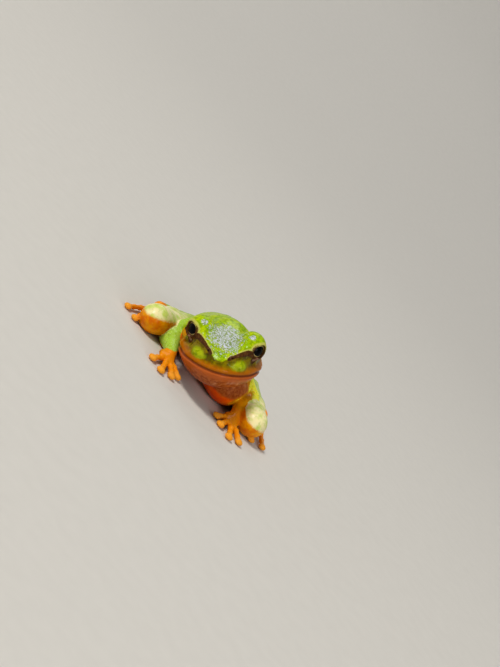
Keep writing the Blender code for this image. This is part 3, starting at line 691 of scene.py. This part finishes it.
# The limbs are pale on the side turned to the light and orange on the side turned to the belly.
# For each limb: the direction that its pale skin looks in, and how nearly it has to.
PALE_SIDE = {
    "armleft": (0.7, 0.2, 0.5, 0.46),
    "armright": (-0.35, -0.5, 0.75, -0.25),
    "legleft": (0.05, -0.2, 0.97, 0.28),
    "legright": (-0.3, -0.1, 0.9, 0.36),
}
LIMB_BONES = {"arm": ("upper", "fore"), "leg": ("thigh", "shank", "tarsus")}
pale = np.full(len(verts), -1.0)
nearest = np.full(len(verts), OUTSIDE)
leg = np.zeros(len(verts))
for limb, (x, y, z, least) in PALE_SIDE.items():
    kind, side = limb[:3], limb[3:]
    depth = np.max([limb_paths[bone + side] for bone in LIMB_BONES[kind]], axis=0)
    closer = depth > nearest
    pale = np.where(closer, facing @ np.array((x, y, z)) - least, pale)
    leg = np.where(closer, float(kind == "leg"), leg)
    nearest = np.maximum(nearest, depth)
pale = pale - 2.0 * np.clip((digits - limb_depth + 1.2) / 1.4, 0, 1)
blend = np.clip(on_limb / 0.5 + 0.5, 0, 1)
marking("back", back * (1 - blend) + pale * blend)
marking("limb", on_limb)
marking("leg", leg)
marking("leftward", verts[:, 0])

# Smaller markings: a green lobe below each nostril, the line of the mouth, the discs of the digits,
# and where painted sheen and painted glints lie on the crown and both lids. The others say how far
# below the lips, down the side, back or near the ground a point lies, for the colours that fade
# that way.
LOBE_CENTRE, LOBE_RADII = (2.95, 4.2, -1.85), (1.45, 1.9, 0.78)
CROWN_CENTRE, CROWN_RADII = 1.5, (3.0, 3.7)
lobe = ((aside - LOBE_CENTRE[0]) / LOBE_RADII[0]) ** 2
lobe = lobe + ((ahead - LOBE_CENTRE[1]) / LOBE_RADII[1]) ** 2
lobe = lobe + ((crown - LOBE_CENTRE[2]) / LOBE_RADII[2]) ** 2
marking("lobe", np.where(ahead > 1.5, 1 - np.sqrt(lobe), -5))
marking("mouth", inside_path(mouth_line, [0.27] * len(mouth_line)))
marking("below_lip", -LIP_DROP - crown)
marking("below", -girth / 10)
marking("digit", digits)
marking("disc", discs)
# Where the painted sheen and painted glints lie: an oval over the crown, and a spot on top of each
# lid.
sheen_patch = 1 - np.sqrt((left / CROWN_RADII[0]) ** 2 + ((ahead - CROWN_CENTRE) / CROWN_RADII[1]) ** 2)
sheen_patch = np.where((crown > -1.3) & (ahead > -4), sheen_patch, -1)
for side in (1, -1):
    lid_glint = in_head(side * 3.65, 1.24, 1.77)
    sheen_patch = np.maximum(sheen_patch, 1.2 - np.linalg.norm(verts - lid_glint, axis=1) / 0.5)
marking("sheen_patch", sheen_patch)
marking("rear", length / 10)
marking("chest", 3.0 - verts[:, 2] + 0.5 * (verts[:, 1] - 5.0))

# Skin finish: moist and finely grained, yellow-green above, orange below, with a brown stripe.
# The colours lie in the skin itself, clouded where they are wide and broken up at their edges, and
# over them lie painted sheen, glints, highlights and shade.


class Dye:
    """A value or colour in a material. Sums and products of values add their Math nodes."""

    def __init__(self, tree, socket=None):
        self.tree = tree
        self.socket = socket

    def node(self, kind, settings=(), sockets=(), out=0):
        """Adds a node: its settings first, then the values or links of its sockets."""
        made = self.tree.nodes.new(kind)
        for name, value in dict(settings).items():
            setattr(made, name, value)
        for name, value in dict(sockets).items():
            if isinstance(value, Dye):
                self.tree.links.new(value.socket, made.inputs[name])
            else:
                made.inputs[name].default_value = value
        return Dye(self.tree, made.outputs[out])

    def sum_with(self, operation, first, second):
        """Adds the Math node of an operation."""
        return self.node("ShaderNodeMath", {"operation": operation}, {0: first, 1: second})

    def __add__(self, other):
        return self.sum_with("ADD", self, other)

    def __sub__(self, other):
        return self.sum_with("SUBTRACT", self, other)

    def __rsub__(self, other):
        return self.sum_with("SUBTRACT", other, self)

    def __mul__(self, other):
        return self.sum_with("MULTIPLY", self, other)

    __radd__ = __add__
    __rmul__ = __mul__

    def read(self, name):
        """A marking kept on the piece."""
        return self.node("ShaderNodeAttribute", {"attribute_name": name}, out="Fac")

    def noise(self, scale):
        """Soft noise on the piece's own coordinates, with scale in waves a millimetre."""
        place = self.node("ShaderNodeTexCoord", out="Object")
        sockets = {"Vector": place, "Scale": scale * 1000, "Detail": 2.0, "Roughness": 0.5}
        return self.node("ShaderNodeTexNoise", {}, sockets, "Fac")

    def grains(self, scale, out="Distance"):
        """Rounded grains on the piece's own coordinates."""
        place = self.node("ShaderNodeTexCoord", out="Object")
        sockets = {"Vector": place, "Scale": scale * 1000}
        return self.node("ShaderNodeTexVoronoi", {}, sockets, out)

    def over(self, low, high):
        """0 where the value is below low, 1 above high, and smooth between."""
        sockets = {"Value": self, "From Min": low, "From Max": high}
        return self.node("ShaderNodeMapRange", {"interpolation_type": "SMOOTHSTEP"}, sockets)

    def mixed(self, first, second, share):
        """A colour between two others."""
        settings = {"data_type": "RGBA", "clamp_factor": True}
        return self.node("ShaderNodeMix", settings, {0: share, 6: first, 7: second}, 2)

    def tint(self, other, share):
        """This colour with some of the other laid over it."""
        return self.mixed(self, other, share)

    def feed(self, shader, name):
        """Links the value or colour to a socket of the shader."""
        self.tree.links.new(self.socket, shader.inputs[name])


def paint(red, green, blue):
    """A colour from the 0 to 255 values of a screen."""
    line = [c / 255 for c in (red, green, blue)]
    line = [c / 12.92 if c < 0.04045 else ((c + 0.055) / 1.055) ** 2.4 for c in line]
    return (*line, 1.0)


def new_finish(name, **same_all_over):
    """A new material, its node tree as a Dye, and its shader, whose plain values are set here."""
    finish = bpy.data.materials.new(name)
    finish.use_nodes = True
    shader = finish.node_tree.nodes["Principled BSDF"]
    for label, value in same_all_over.items():
        shader.inputs[label.replace("_", " ")].default_value = value
    return finish, Dye(finish.node_tree), shader


finish, dye, shader = new_finish(
    "skin_finish",
    Specular_IOR_Level=0.0,
    Coat_IOR=1.3,
    Coat_Roughness=0.16,
    Subsurface_Weight=0.06,
    Subsurface_Radius=(1.0, 0.5, 0.2),
    Subsurface_Scale=0.0004,
)
cloud, mottle, fine = dye.noise(0.75), dye.noise(2.2), dye.noise(6.5)
# Cells of fine grains and their centres, for the painted glints.
glint_cells = dye.node("ShaderNodeSeparateColor", {}, {0: dye.grains(6.6, "Color")})
glint_centres = dye.grains(6.6)
ragged = (mottle - 0.5) * 0.5 + (fine - 0.5) * 0.3
on_limb = dye.read("limb").over(-0.3, 0.4)
rear = dye.read("rear")
leftward = dye.read("leftward")

# Upper side: leaf green with darker clouds, painted highlight flecks and painted shade between the
# grains.
# The left arm is painted yellower than the right as painted sunlight, and the hind legs are cream
# with green patches, greener to the rear; the limb tops carry painted glints.
green = dye.mixed(paint(176, 198, 0), paint(144, 182, 0), cloud.over(0.36, 0.66))
green = green.tint(paint(112, 144, 0), mottle.over(0.54, 0.74) * 0.45)
# Painted highlights: fine pale yellow flecks over the green.
green = green.tint(paint(206, 216, 64), fine.over(0.55, 0.75) * 0.4)
# Painted shade: the green darkens in the gaps between the grains, where the bump lowers the skin.
grain_gaps = dye.grains(2.6)
green = green.tint(paint(88, 118, 0), grain_gaps.over(0.35, 0.8) * 0.5)
# Painted sunlight: the arm tops run from light green on the frog's right to yellow on its left.
arm_top = dye.mixed(paint(168, 206, 66), paint(242, 234, 50), leftward.over(0.0, 4.0))
leg_top = dye.mixed(paint(242, 230, 172), paint(196, 212, 96), cloud.over(0.36, 0.68))
leg_top = leg_top.tint(paint(148, 180, 16), (rear + ragged * 0.6).over(0.9, 1.5) * 0.75)
limb_top = dye.mixed(arm_top, leg_top, dye.read("leg"))
patchy = 1 - dye.read("leg") * 0.6
limb_top = limb_top.tint(paint(132, 160, 10), mottle.over(0.52, 0.7) * 0.55 * patchy)
# Painted glints: pale flecks over the tops of the limbs.
limb_top = limb_top.tint(paint(236, 240, 206), fine.over(0.58, 0.72) * 0.45)
top = green.tint(limb_top, on_limb)

# Under side: amber and orange limbs, a brown-orange throat, an orange-red chest that pales to
# ochre at the rump, and a dark olive face that turns amber towards the lips and the flanks.
arm_under = dye.mixed(paint(234, 156, 0), paint(196, 130, 0), cloud.over(0.35, 0.65))
leg_under = dye.mixed(paint(232, 154, 0), paint(214, 108, 0), cloud.over(0.35, 0.65))
limb_under = dye.mixed(arm_under, leg_under, dye.read("leg"))
limb_under = limb_under.tint(paint(232, 176, 36), mottle.over(0.58, 0.76) * 0.5)
throat = dye.mixed(paint(170, 90, 38), paint(140, 64, 20), mottle.over(0.35, 0.65))
throat = throat.tint(paint(206, 140, 92), cloud.over(0.5, 0.75) * 0.5)
belly = dye.mixed(paint(246, 104, 4), paint(236, 76, 2), cloud.over(0.35, 0.65))
under = throat.tint(belly, (dye.read("chest") + ragged).over(-0.3, 0.5))
under = under.tint(paint(224, 166, 84), rear.over(1.2, 2.2))
face = dye.mixed(paint(128, 112, 0), paint(84, 74, 0), cloud.over(0.4, 0.6))
face = face.tint(paint(54, 50, 0), mottle.over(0.45, 0.7) * 0.6)
lip = dye.read("below_lip")
face = face.tint(paint(186, 100, 0), (lip + ragged * 0.8).over(-1.3, -0.35) * 0.9)
flank = face.tint(paint(224, 160, 20), rear.over(0.2, 0.8))

# Laid over one another from the belly up: the under side, the lips, limbs and digits, the green
# of the back, the stripe with its pale edge, the painted sheen and painted glints of the crown, and
# last mouth and nostrils, whose pits get painted shade.
colour = flank.tint(under, (dye.read("below") + ragged).over(0.0, 0.6) * dye.read("trunk"))
on_head = 1 - dye.read("trunk")
colour = colour.tint(paint(178, 88, 34), lip.over(-0.1, 0.1) * on_head)
colour = colour.tint(under, lip.over(0.7, 1.5) * on_head)
colour = colour.tint(limb_under, on_limb)
on_digit = dye.read("digit").over(-0.2, 0.4)
colour = colour.tint(paint(236, 142, 14), on_digit)
edge = dye.read("back") + ragged * (0.35 + dye.read("trunk") * 0.5)
colour = colour.tint(top, edge.over(-0.1, 0.12))
lobe = dye.read("lobe") + (mottle - 0.5) * 0.8
lobe_green = dye.mixed(paint(166, 180, 16), paint(132, 150, 0), mottle.over(0.35, 0.65))
colour = colour.tint(lobe_green, lobe.over(-0.15, 0.35) * 0.95)
stripe = dye.read("stripe") + (fine - 0.5) * 0.2 - on_limb * 2
pale_edge = stripe.over(-0.26, -0.08) * edge.over(0.0, 0.3)
colour = colour.tint(paint(200, 190, 96), pale_edge * 0.75)
brown = dye.mixed(paint(70, 42, 18), paint(96, 60, 26), mottle.over(0.4, 0.7))
on_stripe = stripe.over(-0.06, 0.05)
colour = colour.tint(brown, on_stripe)
colour = colour.tint(paint(138, 98, 80), dye.read("eye_patch").over(-0.02, 0.1) * 0.9)
# Painted sheen: a grey-green patch over the crown and lids, with painted white glints on its
# grains.
sheen_patch = dye.read("sheen_patch") + (mottle - 0.5) * 1.0
sparse = sheen_patch.over(0.0, 0.55)
colour = colour.tint(paint(122, 138, 88), sparse * 0.85)
glints = (glint_cells + sparse * 0.5 - glint_centres * 0.8).over(0.35, 0.85) * sheen_patch.over(0.0, 0.15)
colour = colour.tint(paint(196, 200, 212), glints)
colour = colour.tint(paint(84, 30, 6), dye.read("mouth").over(0.0, 0.16) * 0.9)
# Painted shade: the nostril pits are painted near black.
nostril = dye.read("nostril").over(0.0, 0.12)
colour = colour.tint(paint(30, 16, 8), nostril)
colour = colour.tint(paint(232, 170, 66), dye.read("disc").over(-0.1, 0.3) * 0.4)
colour.feed(shader, "Base Color")
wet = 0.36 + mottle * 0.2 + nostril * 0.4
wet.feed(shader, "Roughness")
gloss = 0.5 - nostril * 0.5 - on_stripe * 0.25 - on_digit * 0.2
gloss.feed(shader, "Coat Weight")
pebbles = 1 - grain_gaps + fine * 0.4
relief = {"Strength": 0.5, "Distance": 0.00006, "Height": pebbles}
dye.node("ShaderNodeBump", {}, relief, "Normal").feed(shader, "Normal")
skin_mesh.materials.append(finish)

# Eyes: wet round balls that swell a little over the iris, each in the socket between its lids.
# The pupil is wide and lies level, black in a dark gold iris with a pale rim and fine threads.
PUPIL_WIDE, PUPIL_HIGH = 0.95, 0.72
iris, dye, shader = new_finish(
    "iris_finish",
    Roughness=0.3,
    Specular_IOR_Level=0.0,
    Coat_Weight=0.6,
    Coat_IOR=1.2,
    Coat_Roughness=0.04,
)
wide, high = dye.read("iris_across"), dye.read("iris_up")
round_out = wide * wide + high * high
pupil = wide * wide * (1 / PUPIL_WIDE**2) + high * high * (1 / PUPIL_HIGH**2)
threads = dye.noise(6.0)
colour = dye.mixed(paint(150, 116, 48), paint(64, 44, 18), threads.over(0.4, 0.62))
colour = colour.tint(paint(24, 14, 8), round_out.over(1.2, 1.7))
colour = colour.tint(paint(206, 186, 120), 1 - pupil.over(1.2, 1.34))
colour = colour.tint((0.001, 0.001, 0.001, 1), 1 - pupil.over(1.0, 1.08))
colour = colour.tint(paint(40, 26, 14), 1 - dye.read("iris_front").over(0.1, 0.5))
colour.feed(shader, "Base Color")
for side, name in ((1, "left"), (-1, "right")):
    shape = bmesh.new()
    bmesh.ops.create_uvsphere(shape, u_segments=64, v_segments=40, radius=EYEBALL)
    mesh = bpy.data.meshes.new("eyeball_" + name)
    shape.to_mesh(mesh)
    shape.free()
    ball = np.empty(len(mesh.vertices) * 3)
    mesh.vertices.foreach_get("co", ball)
    ball = ball.reshape(-1, 3)
    for axis, label in enumerate(("iris_across", "iris_up", "iris_front")):
        marking(label, ball[:, axis], mesh)
    swell = 1 + 0.05 * np.clip(ball[:, 2] / EYEBALL - 0.55, 0, 1) / 0.45
    centre = in_head(side * EYE_SPREAD, 0, 0)
    placed = (ball * swell[:, None]) @ gazes[name] + centre
    mesh.vertices.foreach_set("co", ((placed + place_shift) / 1000).ravel())
    mesh.shade_smooth()
    mesh.update()
    eyeball = bpy.data.objects.new("eyeball_" + name, mesh)
    bpy.context.scene.collection.objects.link(eyeball)
    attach(eyeball, "root")
    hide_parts("eye_" + name)
    mesh.materials.append(iris)

# The floor is a sheet of pale paper that lies flat under the model and curves up far round it, so
# that no horizon shows from any side. It is given as rings, each with its radius and its height.
FLOOR_RINGS = [(0.1, 0.0), (0.2, 0.0), (0.35, 0.0), (0.5, 0.008), (0.7, 0.04)]
FLOOR_RINGS += [(0.95, 0.12), (1.2, 0.26), (1.45, 0.48), (1.6, 0.72), (1.7, 1.0)]
FLOOR_DROP = 0.0001
AROUND = 96
shape = bmesh.new()
rings = []
for radius, height in FLOOR_RINGS:
    turns = [2 * math.pi * i / AROUND for i in range(AROUND)]
    spots = [(radius * math.cos(t), radius * math.sin(t), height - FLOOR_DROP) for t in turns]
    rings.append([shape.verts.new(spot) for spot in spots])
shape.faces.new(rings[0])
for inner, outer in zip(rings, rings[1:]):
    for i in range(AROUND):
        after = (i + 1) % AROUND
        shape.faces.new((inner[i], outer[i], outer[after], inner[after]))
bmesh.ops.recalc_face_normals(shape, faces=shape.faces)
paper = bpy.data.meshes.new("floor")
shape.to_mesh(paper)
shape.free()
paper.shade_smooth()
floor = bpy.data.objects.new("floor", paper)
bpy.context.scene.collection.objects.link(floor)
finish, dye, shader = new_finish("floor_paper", Roughness=0.9, Specular_IOR_Level=0.2)
dye.mixed(paint(216, 212, 205), paint(210, 206, 199), dye.noise(0.4)).feed(shader, "Base Color")
paper.materials.append(finish)

# The light is that of a plain studio: a pale even room, and three soft square lamps turned to the
# frog, of which the strongest stands high in front.
FROG_MIDDLE = (0, 0, 0.005)
bpy.context.scene.view_settings.view_transform = "Standard"
world = bpy.data.worlds.new("studio")
bpy.context.scene.world = world
world.use_nodes = True
world.node_tree.nodes["Background"].inputs["Color"].default_value = (0.94, 0.97, 1.0, 1)
world.node_tree.nodes["Background"].inputs["Strength"].default_value = 0.22


def lamp(name, place, size, power, colour):
    """A soft square lamp turned towards the frog."""
    light = bpy.data.lights.new(name, "AREA")
    light.size = size
    light.energy = power
    light.color = colour
    stand = bpy.data.objects.new(name, light)
    stand.location = place
    way = Vector(FROG_MIDDLE) - Vector(place)
    stand.rotation_euler = way.to_track_quat("-Z", "Y").to_euler()
    bpy.context.scene.collection.objects.link(stand)


lamp("key", (-0.70, -0.55, 1.00), 0.34, 12.0, (1.0, 0.98, 0.93))
lamp("fill", (0.70, -0.80, 0.45), 0.60, 4.2, (0.97, 0.98, 1.0))
lamp("top", (-0.35, 0.80, 0.75), 0.50, 1.6, (0.97, 0.98, 1.0))

# The camera looks from in front and a little above, and is turned over on its side so far that
# level ground runs down to the right in the picture, as under a frog on a steep slope.
IMAGE_WIDTH, IMAGE_HEIGHT = 500, 667
FOCAL = 1389.0
SENSOR_WIDTH, SENSOR_HEIGHT = 18, 24
CAMERA_AWAY = 0.200
CAMERA_RISE = math.radians(12.0)
GROUND_LINE = (0.682, 0.731)
EYES_AT = (225.9, 338.8)
target = Vector((EYE_MIDDLE + place_shift) / 1000)
aim = Vector((0, math.cos(CAMERA_RISE), -math.sin(CAMERA_RISE)))
plumb = Vector((0, math.sin(CAMERA_RISE), math.cos(CAMERA_RISE)))
level = Vector((1, 0, 0))
right = GROUND_LINE[0] * level + GROUND_LINE[1] * plumb
above = GROUND_LINE[0] * plumb - GROUND_LINE[1] * level
off_right, off_down = EYES_AT[0] - IMAGE_WIDTH / 2, EYES_AT[1] - IMAGE_HEIGHT / 2
view = (aim - (off_right * right - off_down * above) / FOCAL).normalized()
right = (right - view * right.dot(view)).normalized()
above = right.cross(view)
lens = bpy.data.cameras.new("camera")
lens.sensor_fit = "VERTICAL"
lens.sensor_height = SENSOR_HEIGHT
lens.sensor_width = SENSOR_WIDTH
lens.lens = SENSOR_HEIGHT * FOCAL / IMAGE_HEIGHT
lens.clip_start = 0.01
camera = bpy.data.objects.new("camera", lens)
turned = Matrix((right, above, -view)).transposed().to_4x4()
turned.translation = target - aim * CAMERA_AWAY
camera.matrix_world = turned
bpy.context.scene.collection.objects.link(camera)
bpy.context.scene.camera = camera
